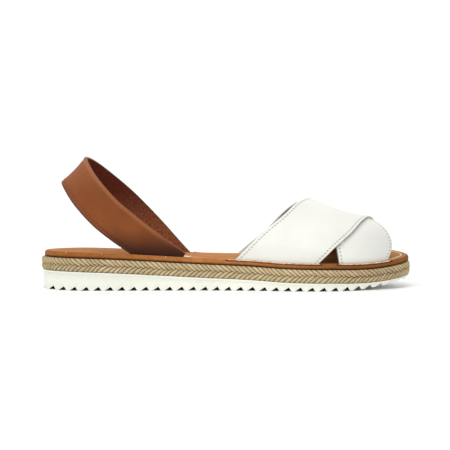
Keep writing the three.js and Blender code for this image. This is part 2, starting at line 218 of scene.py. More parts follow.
def makePiece(name, points, quads, material, slotName, node=None, masks=None, uv=None, uvPeriod=0):
    # a mesh from points in millimetres and quads, where a doubled corner makes a triangle
    points = np.array(points, dtype=float).reshape(-1, 3)
    points[:, 2] += forefootLift(points[:, 0], points[:, 1])
    a, b, c, d = (points[quads[:, k]] for k in range(4))
    volume = np.sum(a * (np.cross(b, c) + np.cross(c, d)))
    if volume < 0:
        quads = quads[:, ::-1]
    doubled = quads == np.roll(quads, -1, axis=1)
    whole = quads[~doubled.any(axis=1)]
    cut = doubled.sum(axis=1) == 1
    threes = quads[cut][~doubled[cut]].reshape(-1, 3)
    corners = np.concatenate([whole.ravel(), threes.ravel()])
    starts = np.concatenate([np.arange(len(whole)) * 4, whole.size + np.arange(len(threes)) * 3])
    mesh = bpy.data.meshes.new(name)
    mesh.vertices.add(len(points))
    mesh.vertices.foreach_set("co", (points / 1000).astype(np.float32).ravel())
    mesh.loops.add(len(corners))
    mesh.loops.foreach_set("vertex_index", corners.astype(np.int32))
    mesh.polygons.add(len(starts))
    mesh.polygons.foreach_set("loop_start", starts.astype(np.int32))
    mesh.polygons.foreach_set("use_smooth", np.ones(len(starts), dtype=bool))
    for mask, values in (masks or {}).items():
        layer = mesh.attributes.new(mask, "FLOAT", "POINT")
        layer.data.foreach_set("value", np.asarray(values, dtype=np.float32).ravel())
    if uv is not None:
        spread = np.array(uv, dtype=float).reshape(-1, 2)[corners]
        if uvPeriod:  # a quad over the pattern's end gets its low corners one period on
            cells = spread[: whole.size].reshape(-1, 4, 2)
            low = cells[..., 0] < cells[..., 0].max(axis=1, keepdims=True) - uvPeriod / 2
            cells[..., 0] += uvPeriod * low
        layer = mesh.uv_layers.new(name="shape")
        layer.uv.foreach_set("vector", spread.astype(np.float32).ravel())
    mesh.update(calc_edges=True)
    mesh.validate()
    mesh.materials.append(material)
    piece = linked(name, mesh)
    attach(piece, "root")
    if node:
        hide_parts(node)
    print(name, len(points), "points", 2 * len(whole) + len(threes), "triangles")
    return piece


def plate(rings, topHeight, bottomHeight, topColumns, bottomColumns):
    # rings that follow the outline, listed from the lowest up, closed by rows that join a ring's
    # inner points to its outer ones
    levels, count = rings.shape[:2]
    points = rings.reshape(-1, 3)
    index = np.arange(levels * count).reshape(levels, count)
    quads = [gridQuads(np.hstack([index, index[:, :1]]))[:, ::-1]]
    half = count // 2
    caps = ((index[0], bottomColumns, bottomHeight, -1), (index[-1], topColumns, topHeight, 1))
    for ring, columns, height, winding in caps:
        inner, outer = ring[: half + 1], ring[-np.arange(half + 1) % count]
        share = (np.arange(1, columns) / columns)[None, :, None]
        start, end = points[inner[1:-1]][:, None], points[outer[1:-1]][:, None]
        middle = start + (end - start) * share
        middle[..., 2] = height(middle[..., 0], middle[..., 1])
        cap = np.repeat(inner[:, None], columns + 1, axis=1)
        cap[:, -1] = outer
        cap[1:-1, 1:-1] = np.arange(middle[..., 0].size).reshape(half - 1, columns - 1) + len(points)
        points = np.concatenate([points, middle.reshape(-1, 3)])
        quads.append(gridQuads(cap)[:, ::winding])
    return points, np.concatenate(quads)


def capped(values, points, fill=0.0):
    # a value for each point of a plate: those of its rings, then one for all points of its caps
    values = np.ravel(values)
    return np.concatenate([values, np.full(len(points) - len(values), fill)])


class Value:
    # a shader socket that takes Python arithmetic
    def __init__(self, paint, link):
        self.paint, self.link = paint, link

    def __add__(self, other):
        return self.paint.math("ADD", self, other)

    def __sub__(self, other):
        return self.paint.math("SUBTRACT", self, other)

    def __rsub__(self, other):
        return self.paint.math("SUBTRACT", other, self)

    def __mul__(self, other):
        return self.paint.math("MULTIPLY", self, other)

    __radd__ = __add__
    __rmul__ = __mul__


class Paint:
    # a material with one Principled shader, whose constant sockets are given by name
    def __init__(self, name, **constants):
        self.material = bpy.data.materials.new(name)
        self.material.use_nodes = True
        self.tree = self.material.node_tree
        self.shader = self.tree.nodes["Principled BSDF"]
        for key, value in constants.items():
            self.shader.inputs[key.replace("_", " ")].default_value = value

    def node(self, kind, settings=None, inputs=None, output=0):
        made = self.tree.nodes.new(kind)
        for key, value in (settings or {}).items():
            setattr(made, key, value)
        for key, value in (inputs or {}).items():
            self.feed(made.inputs[key], value)
        return Value(self, made.outputs[output])

    def feed(self, socket, value):
        if isinstance(value, Value):
            self.tree.links.new(value.link, socket)
        else:
            socket.default_value = value

    def math(self, operation, *values):
        return self.node("ShaderNodeMath", {"operation": operation}, dict(enumerate(values)))

    def place(self, scale, kind="Object"):
        # coordinates in metres times a scale for each axis
        start = self.node("ShaderNodeTexCoord", output=kind)
        return self.node("ShaderNodeMapping", {"vector_type": "POINT"}, {"Vector": start, "Scale": scale})

    def noise(self, scale, detail=3.0, rough=0.55, vector=None):
        inputs = {"Scale": scale, "Detail": detail, "Roughness": rough}
        inputs["Vector"] = vector or self.node("ShaderNodeTexCoord", output="Object")
        return self.node("ShaderNodeTexNoise", None, inputs)

    def cells(self, scale):
        inputs = {"Scale": scale, "Vector": self.node("ShaderNodeTexCoord", output="Object")}
        return self.node("ShaderNodeTexVoronoi", {"feature": "F1"}, inputs)

    def axis(self, which):
        # one object coordinate in metres: 0 along, 1 across, 2 up
        place = self.node("ShaderNodeTexCoord", output="Object")
        return self.node("ShaderNodeSeparateXYZ", None, {0: place}, output=which)

    def mask(self, name):
        return self.node("ShaderNodeAttribute", {"attribute_name": name}, output="Fac")

    def between(self, value, low, high):
        inputs = {"Value": value, "From Min": low, "From Max": high}
        return self.node("ShaderNodeMapRange", {"interpolation_type": "SMOOTHSTEP"}, inputs)

    def mix(self, factor, first, second):
        inputs = {0: factor, 6: first, 7: second}
        return self.node("ShaderNodeMix", {"data_type": "RGBA"}, inputs, output=2)

    def layers(self, base, *coats):
        # colours laid over each other, each with the share by which it covers those before it
        tint = tone(base)
        for cover, colour in coats:
            tint = self.mix(cover, tint, tone(colour))
        return tint

    def bump(self, height, distance, strength=1.0, below=None):
        inputs = {"Height": height, "Distance": distance, "Strength": strength}
        if below:
            inputs["Normal"] = below
        return self.node("ShaderNodeBump", None, inputs)

    def finish(self, **varying):
        for key, value in varying.items():
            self.feed(self.shader.inputs[key.replace("_", " ")], value)
        return self.material


def tone(colour):
    # a colour as a screen shows it, 0 to 255, made linear, while a socket stays as it is
    if isinstance(colour, Value):
        return colour
    share = np.array(colour) / 255
    linear = np.where(share <= 0.04045, share / 12.92, ((share + 0.055) / 1.055) ** 2.4)
    return (*(float(part) for part in linear), 1.0)


# Camera and light
view = {
    "place": (-1.5, -645.0, 62.7),
    "pitch": 1.85,  # degrees downward
    "roll": 0.15,
    "focal": 926.5,  # in pixels of the frame
    "frame": 450,
    "sensor": 36.0,
}


def aimCamera():
    pitch, roll = np.radians(view["pitch"]), np.radians(view["roll"])
    forward = np.array([0, np.cos(pitch), -np.sin(pitch)])
    right = np.array([1.0, 0, 0])
    up = np.cross(right, forward)
    side = np.cos(roll) * right + np.sin(roll) * up
    top = np.cos(roll) * up - np.sin(roll) * right
    turned = Matrix(np.column_stack([side, top, -forward]).tolist()).to_4x4()
    turned.translation = [part / 1000 for part in view["place"]]
    data = bpy.data.cameras.new("camera")
    data.sensor_width = view["sensor"]
    data.lens = view["focal"] * view["sensor"] / view["frame"]
    data.clip_start, data.clip_end = 0.01, 50
    camera = linked("camera", data)
    camera.matrix_world = turned
    bpy.context.scene.camera = camera


studio = {
    "horizon": 1.03,  # brightness of the surroundings at eye level and overhead
    "zenith": 0.5,
    "fade": (0.2, 0.75),  # sines of the heights between which it falls
    # name, direction towards the lamp, strength, spread in degrees
    "lamps": (
        ("keyLamp", (-0.3, -0.5, 0.9), 1.5, 45.0),
        ("backLamp", (0.3, 0.6, 0.7), 0.5, 60.0),
    ),
    "floorSize": 60.0,
}


def setLight():
    world = bpy.data.worlds.new("world")
    bpy.context.scene.world = world
    world.use_nodes = True
    nodes, links = world.node_tree.nodes, world.node_tree.links
    background = nodes["Background"]
    background.inputs["Color"].default_value = (1, 1, 1, 1)
    direction, parts, fade = (nodes.new(kind) for kind in (
        "ShaderNodeTexCoord", "ShaderNodeSeparateXYZ", "ShaderNodeMapRange"))
    fade.inputs["From Min"].default_value, fade.inputs["From Max"].default_value = studio["fade"]
    fade.inputs["To Min"].default_value = studio["horizon"]
    fade.inputs["To Max"].default_value = studio["zenith"]
    links.new(direction.outputs["Generated"], parts.inputs[0])
    links.new(parts.outputs["Z"], fade.inputs["Value"])
    links.new(fade.outputs[0], background.inputs["Strength"])
    for name, towards, strength, spread in studio["lamps"]:
        data = bpy.data.lights.new(name, "SUN")
        data.energy, data.angle = strength, np.radians(spread)
        lamp = linked(name, data)
        lamp.matrix_world = Vector(towards).to_track_quat("Z", "Y").to_matrix().to_4x4()
    bpy.context.scene.view_settings.view_transform = "Standard"


def layFloor():
    paint = Paint("floorPaint", Roughness=0.9, Specular_IOR_Level=0.1)
    tint = paint.mix(paint.noise(8.0), (0.97, 0.97, 0.97, 1), (0.98, 0.98, 0.98, 1))
    material = paint.finish(Base_Color=tint)
    half = studio["floorSize"] / 2
    corners = [(-half, -half, 0), (half, -half, 0), (half, half, 0), (-half, half, 0)]
    mesh = bpy.data.meshes.new("floor")
    mesh.from_pydata(corners, [], [(0, 1, 2, 3)])
    mesh.materials.append(material)
    floor = linked("floor", mesh)


aimCamera()
setLight()
layFloor()
print("camera, light and floor set")

# Outsole: light foam rubber with ripples straight across
outsole = {
    "inset": 0.6,  # behind the midsole's wall, at the lip
    "floorInset": 1.5,
    "lipHeight": 1.2,
    "leastLip": 0.4,  # lowest place of the lip's foot, as a share of the wall's height
    "edgeRound": 0.35,
    "roundShare": 0.15,  # most of the wall's height that the rounding at the floor takes
    # rings of the wall from the floor up: share of the way from inset to floorInset, extra inset,
    # level, share of the rounding, rise
    "rings": (
        (1, 0.35, "tip", 0, 0),
        (1, 0.1, "tip", 0.3, 0),
        (1, 0, "tip", 1, 0),
        (0.5, 0.2, "middle", 0, 0),
        (0, 0.4, "lip", 0, 0),
        (0, 0.12, "lip", 0, 0.18),
        (0, 0, "lip", 0, 0.42),
        (0, 0, "top", 0, -0.3),
        (0, 0.1, "top", 0, -0.08),
        (0, 0.4, "top", 0, 0),
    ),
    "pitch": 7.75,
    "depth": 2.5,
    "tip": 2.3,
    "rampShare": 0.7,
    "wallShare": 0.55,  # most of the wall that a ripple takes
    "firstPeak": 3.5,
    "softness": 0.12,
    "spacing": 0.5,  # between the columns of the wall
    "cornerColumns": (-0.25, -0.1, 0, 0.1, 0.25),  # more columns round each corner of a ripple
    "endMargin": 0.05,
    "dark": (0.25, 1.5),  # heights over the underside between which the painted shade in a groove grows
}


def rippleLine():
    # a long ramp, a steep drop and a flat tip again and again, then softened by a bell-shaped mean
    ramp = (outsole["pitch"] - outsole["tip"]) * outsole["rampShare"]
    drop = outsole["pitch"] - outsole["tip"] - ramp
    start = outsole["firstPeak"] - halfLength - outsole["pitch"]
    peaks = np.arange(start, halfLength + outsole["pitch"], outsole["pitch"])
    wall = outsoleTop(peaks) - underside(peaks)
    rise = np.minimum(outsole["depth"], outsole["wallShare"] * wall)
    keyX = np.stack([peaks - ramp, peaks, peaks + drop], axis=1).ravel()
    keyZ = underside(keyX) + np.stack([0 * rise, rise, 0 * rise], axis=1).ravel()
    step, bellSteps, margin = 0.04, 12, 4
    x = np.arange(-halfLength - margin, halfLength + margin, step)
    reach = np.arange(-bellSteps, bellSteps + 1) * step
    bell = np.exp(-0.5 * (reach / outsole["softness"]) ** 2)
    padded = np.pad(np.interp(x, keyX, keyZ), bellSteps, mode="edge")
    return keyX, x, np.convolve(padded, bell / bell.sum(), mode="valid")


def makeOutsole():
    keyX, lineX, lineZ = rippleLine()
    even = halfLength * -np.cos(np.linspace(0, np.pi, int(np.pi * halfLength / outsole["spacing"])))
    nearKeys = (keyX[:, None] + np.array(outsole["cornerColumns"])).ravel()
    nearKeys = nearKeys[np.abs(nearKeys) < halfLength - outsole["endMargin"]]
    x = np.unique(np.concatenate([even, nearKeys]).round(4))
    shares = (x + halfLength) / (2 * halfLength)

    def sideLine(inset):
        # an inset outline with the columns' shares of its length, along the inner side and back
        sides = []
        for sign in (1, -1):
            edge = soleEdge(sign * halfTurns, inset)
            wanted = edge[0, 0] + (edge[-1, 0] - edge[0, 0]) * shares
            sides.append(soleEdge(sign * np.interp(wanted, edge[:, 0], halfTurns), inset))
        return np.concatenate([sides[0], sides[1][-2:0:-1]])

    def bottom(x):
        return np.interp(x, lineX, lineZ)

    rings = []
    for floorShare, extra, level, rounded, rise in outsole["rings"]:
        line = sideLine(outsole["inset"] + floorShare * (outsole["floorInset"] - outsole["inset"]) + extra)
        tip, top = bottom(line[:, 0]), outsoleTop(line[:, 0])
        rounding = np.minimum(outsole["edgeRound"], outsole["roundShare"] * (top - tip))
        lip = np.maximum(top - outsole["lipHeight"], tip + outsole["leastLip"] * (top - tip))
        heights = {"tip": tip, "middle": (tip + rounding + lip) / 2, "lip": lip, "top": top}
        rings.append(np.column_stack([line, heights[level] + rounded * rounding + rise]))
    rings = np.stack(rings)
    points, quads = plate(rings, lambda x, y: outsoleTop(x), lambda x, y: bottom(x), 3, 5)
    # painted shade in the grooves, on the underside alone, and half as strong on the wall's second ring
    under = capped(np.repeat([1, 0.5] + [0] * (len(rings) - 2), rings.shape[1]), points, 1.0)
    under[points[:, 2] > outsoleTop(points[:, 0]) - 0.5] = 0
    groove = smoothStep(points[:, 2] - underside(points[:, 0]), *outsole["dark"])
    paint = Paint("whiteRubber", Roughness=0.5)
    speck = paint.noise(420.0, 4.0, 0.6)
    heel = 1 - paint.between(paint.axis(0), -0.125, -0.04)
    toe = paint.between(paint.axis(0), 0.03, 0.09)
    tint = paint.layers(
        (236, 238, 225),
        (paint.between(paint.noise(22.0, 2.0), 0.35, 0.65), (242, 244, 231)),
        # painted shade towards the heel and the toe
        (heel * 0.55 + toe * 0.35, (219, 221, 212)),
        (paint.between(speck, 0.62, 0.74) * 0.25, (212, 212, 198)),
        # painted shade deep in the ripples' grooves
        (paint.mask("groove") * 0.97, (84, 84, 80)),
    )
    fine = paint.bump(speck + 0.5 * paint.noise(1500.0, 2.0), 0.00012)
    paint.finish(Base_Color=tint, Roughness=0.42 + 0.2 * speck, Normal=fine)
    masks = {"groove": groove * under}
    makePiece("outsole_rubber", points, quads, paint.material, "white_rubber", "outsole", masks)


makeOutsole()

# Jute midsole: one wall whose strands are raised, two rows that meet in a zigzag groove
braid = {
    "pitch": 3.3,
    "slant": 4.6,  # how far a strand runs on from its outer end to the groove
    "relief": 1.35,
    "inset": 1.3,  # the wall under the strands
    "wrap": 3.2,  # how far the strands reach in over and under the wall
    "squareness": 5.0,
    "columnsPerStrand": 14,
    "levels": 38,
    "zigzag": 0.12,
    "wander": 0.06,  # how far the groove strays from mid height
    "unevenness": 0.16,
    "roundness": (2.2, 0.7),  # powers that shape a strand's section
    "bulge": (0.55, 0.45),  # relief at a strand's ends, and what its middle adds
    "edgeDip": 0.8,  # share of the relief that goes where a strand wraps round the wall's edge
    "tipRise": 0.5,  # share of it that is left in the groove
    "unlike": (0.86, 0.22),  # least relief of a strand as a share, and what chance adds
    "tilt": 0.1,  # how much higher one side of a strand stands
    "ply": 0.07,  # relief of the twist, and its turns across and along a strand
    "plyTurns": (2.2, 1.1),
    "upShare": 0.6,  # share of the relief that may move a point up or down
    "spill": 0.12,  # how far it may go past the wall's top and bottom
    "seed": 11,
}


def makeBraid():
    random = np.random.default_rng(braid["seed"])
    strands = int(round(outlineLength / braid["pitch"]))
    count = 2 * (strands * braid["columnsPerStrand"] // 2)
    half = soleForm["midsole"] / 2
    # cross-section: half a superellipse from the underside round the wall to the top
    angle = np.linspace(-np.pi / 2, np.pi / 2, 2001)
    power = 2 / braid["squareness"]
    outward = braid["wrap"] * np.cos(angle).clip(0) ** power
    height = half * np.sign(angle) * np.abs(np.sin(angle)) ** power
    walked = np.concatenate([[0], np.cumsum(np.hypot(np.diff(outward), np.diff(height)))])
    walked -= walked[-1] / 2
    w = np.linspace(walked[0], walked[-1], braid["levels"])[:, None]
    out, up = np.interp(w, walked, outward), np.interp(w, walked, height)
    slopeOut, slopeUp = np.gradient(outward, walked), np.gradient(height, walked)
    normalOut, normalUp = np.interp(w, walked, slopeUp), -np.interp(w, walked, slopeOut)
    along = np.linspace(0, outlineLength, count, endpoint=False)[None, :]
    waves = np.arange(9, 40, 3)[:, None]
    phases = random.uniform(0, 6, len(waves))[:, None]
    swing = np.sin(fullTurn * waves * along / outlineLength + phases)
    uneven = (swing * random.uniform(0.3, 1, len(waves))[:, None]).sum(axis=0) / 2.5
    crossing = along / outlineLength * strands + braid["unevenness"] * uneven
    shift = braid["zigzag"] * np.cos(fullTurn * (crossing - braid["slant"] / braid["pitch"]))
    shift = shift + braid["wander"] * swing[::4].sum(axis=0) / 2
    upper = w / half > shift
    reach = np.where(upper, w / half, -w / half)
    tip = np.abs(w / half - shift)
    place = crossing - braid["slant"] * (1 - reach) / braid["pitch"] + np.where(upper, 0, 0.5)
    part = place - np.floor(place)
    number = np.mod(np.floor(place).astype(int), strands)
    traits = random.uniform(0, 1, (3, 2, strands))[:, upper.astype(int), number]
    (sharp, blunt), (ends, middle), (least, chance) = (braid[key] for key in ("roundness", "bulge", "unlike"))
    rounded = (1 - np.abs(2 * part - 1) ** sharp) ** blunt
    bulge = ends + middle * np.sin(np.pi * np.clip(0.15 + 0.7 * reach, 0, 1)) ** 0.8
    left = braid["tipRise"] + (1 - braid["tipRise"]) * smoothStep(tip, 0, 0.16)
    bulge *= (1 - braid["edgeDip"] * smoothStep(reach, 1.3, 1.8)) * left
    across, onward = braid["plyTurns"]
    ply = braid["ply"] * np.sin(fullTurn * (across * part + onward * reach + traits[1]))
    raised = rounded * (bulge * (least + chance * traits[0]) + braid["tilt"] * (part - 0.5) + ply)
    push = braid["relief"] * raised
    inset = braid["inset"] + braid["wrap"] - out - push * normalOut
    edge = soleEdge(turnAt(along + 0 * w), inset)
    most = half + braid["spill"]
    z = midsoleBottom(edge[..., 0]) + half + np.clip(up + push * normalUp * braid["upShare"], -most, most)
    rings = np.concatenate([edge, z[..., None]], axis=-1)
    points, quads = plate(rings, lambda x, y: midsoleTop(x), lambda x, y: midsoleBottom(x), 3, 3)
    runLength = np.hypot(half, braid["slant"])
    acrossUv = reach * runLength + np.where(upper, 0, 40)
    uv = np.column_stack([capped(place * braid["pitch"], points), capped(acrossUv, points)]) / 1000
    masks = {
        "raised": capped(raised, points, 0.5),
        "strand": capped(traits[2], points, 0.5),
        # groove: where the painted shade of the zigzag groove goes
        "groove": capped(1 - smoothStep(tip, 0.02, 0.14), points),
    }
    paint = Paint("juteYarn", Roughness=0.85, Specular_IOR_Level=0.25)
    fibre = paint.noise(1.0, 4.0, 0.65, paint.place((5200.0, 420.0, 1.0), "UV"))
    coarse = paint.noise(1.0, 2.0, 0.5, paint.place((1500.0, 260.0, 1.0), "UV"))
    spots = paint.between(paint.noise(210.0, 2.0), 0.42, 0.62)
    toe = paint.between(paint.axis(0), 0.05, 0.11)
    heel = 1 - paint.between(paint.axis(0), -0.126, -0.08)
    tint = paint.layers(
        (186, 161, 114),
        (paint.mask("strand"), (215, 192, 148)),
        (paint.between(fibre, 0.35, 0.7) * 0.7, (231, 216, 181)),
        (paint.between(coarse, 0.5, 0.75) * 0.5, (158, 131, 86)),
        # painted shade in the hollows between the strands
        ((1 - paint.between(paint.mask("raised"), 0.15, 0.68)) * 0.9, (92, 68, 36)),
        # painted shade in the zigzag groove, patchy, deepest at the toe
        (paint.mask("groove") * (0.16 + 0.34 * spots + 0.35 * toe), (62, 42, 20)),
        # painted shade towards the toe and towards the heel
        (toe * 0.2, (124, 96, 56)),
        (heel * 0.34, (140, 118, 82)),
    )
    relief = paint.bump(fibre + 0.6 * coarse, 0.0006, 0.9)
    paint.finish(Base_Color=tint, Roughness=0.75 + 0.2 * fibre, Normal=relief)
    makePiece("jute_braid", points, quads, paint.material, "jute", "jute_midsole", masks, uv,
              strands * braid["pitch"] / 1000)


makeBraid()

# Straps: the vamp's two crossed straps and the heel strap share these forms
strapForm = {
    "slotInset": 5.2,
    "rootDepth": 2.7,  # how far the straps reach below the insole's top
    "vampWall": 1.9,
    "vampBack": 129.3,
    "vampLength": 105.0,
    "instepHeight": 52.0,
    "ridgeShare": 0.47,
    "slotReach": 12.0,
    "slotAngle": 24.0,
    "fusion": 0.25,
    "slingWall": 2.2,
    "slingWidth": 24.0,
    "slingFront": 82.3,
    "slingReach": 60.6,
    "slingHeight": 56.5,
}
# along, rise as a share of the instep height
crownRows = np.array([
    (0.53, 1.0), (0.6, 0.94), (0.726, 0.771), (0.802, 0.62), (0.869, 0.52), (0.904, 0.472), (0.954, 0.362),
])
# angle over the arch, rear and front edges as shares of the vamp's length: upper strap, lower strap
strapRows = np.array([
    (0, 0.02, 0.54, 0.045, 0.54),
    (20, 0.178, 0.66, 0.225, 0.66),
    (40, 0.32, 0.76, 0.334, 0.76),
    (65, 0.43, 0.84, 0.432, 0.84),
    (90, 0.51, 0.9, 0.512, 0.915),
    (115, 0.56, 0.95, 0.56, 0.99),
    (140, 0.61, 0.98, 0.61, 1.026),
    (160, 0.647, 0.99, 0.647, 1.025),
    (180, 0.667, 0.975, 0.667, 0.995),
])
# side, back, up as shares of half the span, of the reach and of the height, lean in degrees, width
slingRows = np.array([
    (-0.98, -0.165, -0.125, 54, 0.9),
    (-1.0, 0.191, 0.149, 54, 0.9),
    (-1.04, 0.42, 0.332, 50, 0.95),
    (-1.02, 0.618, 0.509, 46, 0.97),
    (-0.88, 0.812, 0.732, 46, 0.98),
    (-0.58, 0.929, 0.894, 45, 0.98),
    (-0.12, 1.0, 1.0, 46, 1.0),
    (0.3, 0.949, 0.993, 43, 0.98),
    (0.65, 0.79, 0.863, 43, 0.97),
    (0.93, 0.52, 0.605, 44, 0.98),
    (1.0, 0.215, 0.283, 44, 0.94),
    (1.0, -0.083, -0.06, 44, 0.9),
    (0.98, -0.235, -0.23, 44, 0.9),
])
innerSlot = soleEdge(halfTurns, strapForm["slotInset"])
outerSlot = soleEdge(-halfTurns, strapForm["slotInset"])


def archPoint(x, angle, lift):
    # an arch over the forefoot from the inner slot line to the outer one
    inner = np.interp(x, innerSlot[:, 0], innerSlot[:, 1])
    outer = np.interp(x, outerSlot[:, 0], outerSlot[:, 1])
    ridge = inner + (outer - inner) * strapForm["ridgeShare"]
    crown = strapForm["instepHeight"] * readRows(crownRows, 1, x / soleForm["length"] + 0.5)
    cosine, sine = np.cos(angle), np.sin(angle)
    reach = np.where(cosine > 0, ridge - inner, outer - ridge)
    rise = sine * np.where(sine < 0, strapForm["slotReach"], crown)
    swell = 1 + lift / np.maximum(crown, (outer - inner) / 2)
    return np.stack([x, ridge - cosine * reach * swell, insoleTop(x) + rise * swell], axis=-1)


def vampSurface(upper):
    below = np.radians(strapForm["slotAngle"])
    columns = (1, 2) if upper else (3, 4)

    def surface(u, v):
        angle = -below + (np.pi + 2 * below) * u
        degrees = np.clip(np.degrees(angle if upper else np.pi - angle), 0, 180)
        rear, front = (readRows(strapRows, c, degrees) * strapForm["vampLength"] for c in columns)
        x = strapForm["vampBack"] - halfLength + rear + (front - rear) * v
        climb = np.sin(np.clip(angle, 0, np.pi))
        lift = (strapForm["vampWall"] - strapForm["fusion"]) * smoothStep(climb, 0.02, 0.26) * upper
        return archPoint(x, angle, lift)

    return surface


def curveThrough(points, share):
    # cubic through evenly timed points, whose slope at each is half the step between its neighbours
    last = len(points) - 1
    before = 2 * points[0] - points[1]
    after = 2 * points[-1] - points[-2]
    padded = np.concatenate([[before], points, [after]])
    at = np.clip(share, 0, 1) * last
    i = np.clip(np.floor(at).astype(int), 0, last - 1)
    t = (at - i)[..., None]
    p0, p1, p2, p3 = (padded[i + k] for k in range(4))
    t0, t1 = (p2 - p0) / 2, (p3 - p1) / 2
    return p1 + t * t0 + t * t * (3 * (p2 - p1) - 2 * t0 - t1) + t ** 3 * (2 * (p1 - p2) + t0 + t1)


slotX = strapForm["slingFront"] - halfLength


def slingSurface():
    inset = strapForm["slotInset"]
    inner, outer = edgeAt(slotX, False, inset), edgeAt(slotX, True, inset)
    side, back, up, lean, width = slingRows.T
    middle = np.stack([
        slotX - back * strapForm["slingReach"],
        inner + (outer - inner) * (side + 1) / 2,
        insoleTop(slotX) + up * strapForm["slingHeight"],
    ], axis=-1)
    slope = np.stack([np.cos(np.radians(lean)), 0 * lean, np.sin(np.radians(lean))], axis=-1)
    reach = slope * (strapForm["slingWidth"] * width / 2)[:, None]

    def surface(u, v):
        low, high = curveThrough(middle - reach, u), curveThrough(middle + reach, u)
        return low + (high - low) * v[..., None]

    return surface


def trimmed(surface):
    # the same surface, with each line along the strap cut where it goes below the insole
    columns = np.linspace(0, 1, 25)
    u = np.linspace(0, 1, 1201)
    points = surface(u[:, None] + 0 * columns, columns + 0 * u[:, None])
    clear = points[..., 2] > insoleTop(points[..., 0]) - strapForm["rootDepth"]
    first = u[np.argmax(clear, axis=0)]
    last = u[len(u) - 1 - np.argmax(clear[::-1], axis=0)]

    def cut(u, v):
        start, end = np.interp(v, columns, first), np.interp(v, columns, last)
        return surface(start + (end - start) * u, v)

    return cut


def slopes(surface, u, v):
    # both slopes and the unit normal of a surface
    small = 2e-4
    low, high = np.clip(u - small, 0, 1), np.clip(u + small, 0, 1)
    alongStrap = (surface(high, v) - surface(low, v)) / (high - low)[..., None]
    acrossStrap = (surface(u, v + small) - surface(u, v - small)) / (2 * small)
    return alongStrap, acrossStrap, unit(np.cross(acrossStrap, alongStrap))


# columns of a strap's section, in from its edge: on the outer face, round a seam away from its
# line, and on the inner face beside the margin, and how far in the edge shows its cut
strapColumns = {
    "outer": (0.9, 1.3),
    "seam": (-0.5, -0.3, -0.15, 0, 0.15, 0.3, 0.5, 0.8),
    "inner": (1.5, 2.6),
    "margin": (-0.1, 0.2),
    "back": 13,
    "cut": 0.3,
}


def strapProfile(wall, piece, columns):
    # one closed line round the strap's section, whose edges are quarter circles and whose front or
    # high edge swells by bell curves. Columns: which edge it is measured from (0 rear or low, 1 front
    # or high, 0.5 shares of the middle), distance, offset, inside, cut edge
    half, corner, margin, cut = wall / 2, piece["corner"], piece["margin"], strapColumns["cut"]
    bend = np.radians([90, 68, 45, 22, 0])
    nearEdge = [(corner * (1 - np.sin(turn)), half - corner * (1 - np.cos(turn))) for turn in bend]
    seamReach = piece["seam"]["reach"]
    fine = [*strapColumns["outer"], *(seamReach + apart for apart in strapColumns["seam"]), margin]

    def swell(reach):
        return sum(high * np.exp(-(((reach - at) / wide) ** 2)) for high, at, wide in piece["bead"])

    outer, under = [], []
    for edge in (0, 1):
        line = nearEdge + [(reach, half) for reach in fine]
        outer.append([(edge, reach, offset + edge * swell(reach), 0, float(reach < cut))
                      for reach, offset in line])
        line = [(edge, reach, -offset, float(reach > cut), 1) for reach, offset in nearEdge]
        plain = [*strapColumns["inner"], *(margin + apart for apart in strapColumns["margin"])]
        under.append(line + [(edge, reach, -half, 1, float(reach < margin)) for reach in plain])
    middle = [(0.5, share, half, 0, 0) for share in np.linspace(0, 1, columns + 1)[1:-1]]
    back = [(0.5, share, -half, 1, 0) for share in np.linspace(1, 0, strapColumns["back"])[1:-1]]
    return np.array(outer[0] + middle + outer[1][::-1] + under[1] + back + under[0][::-1])


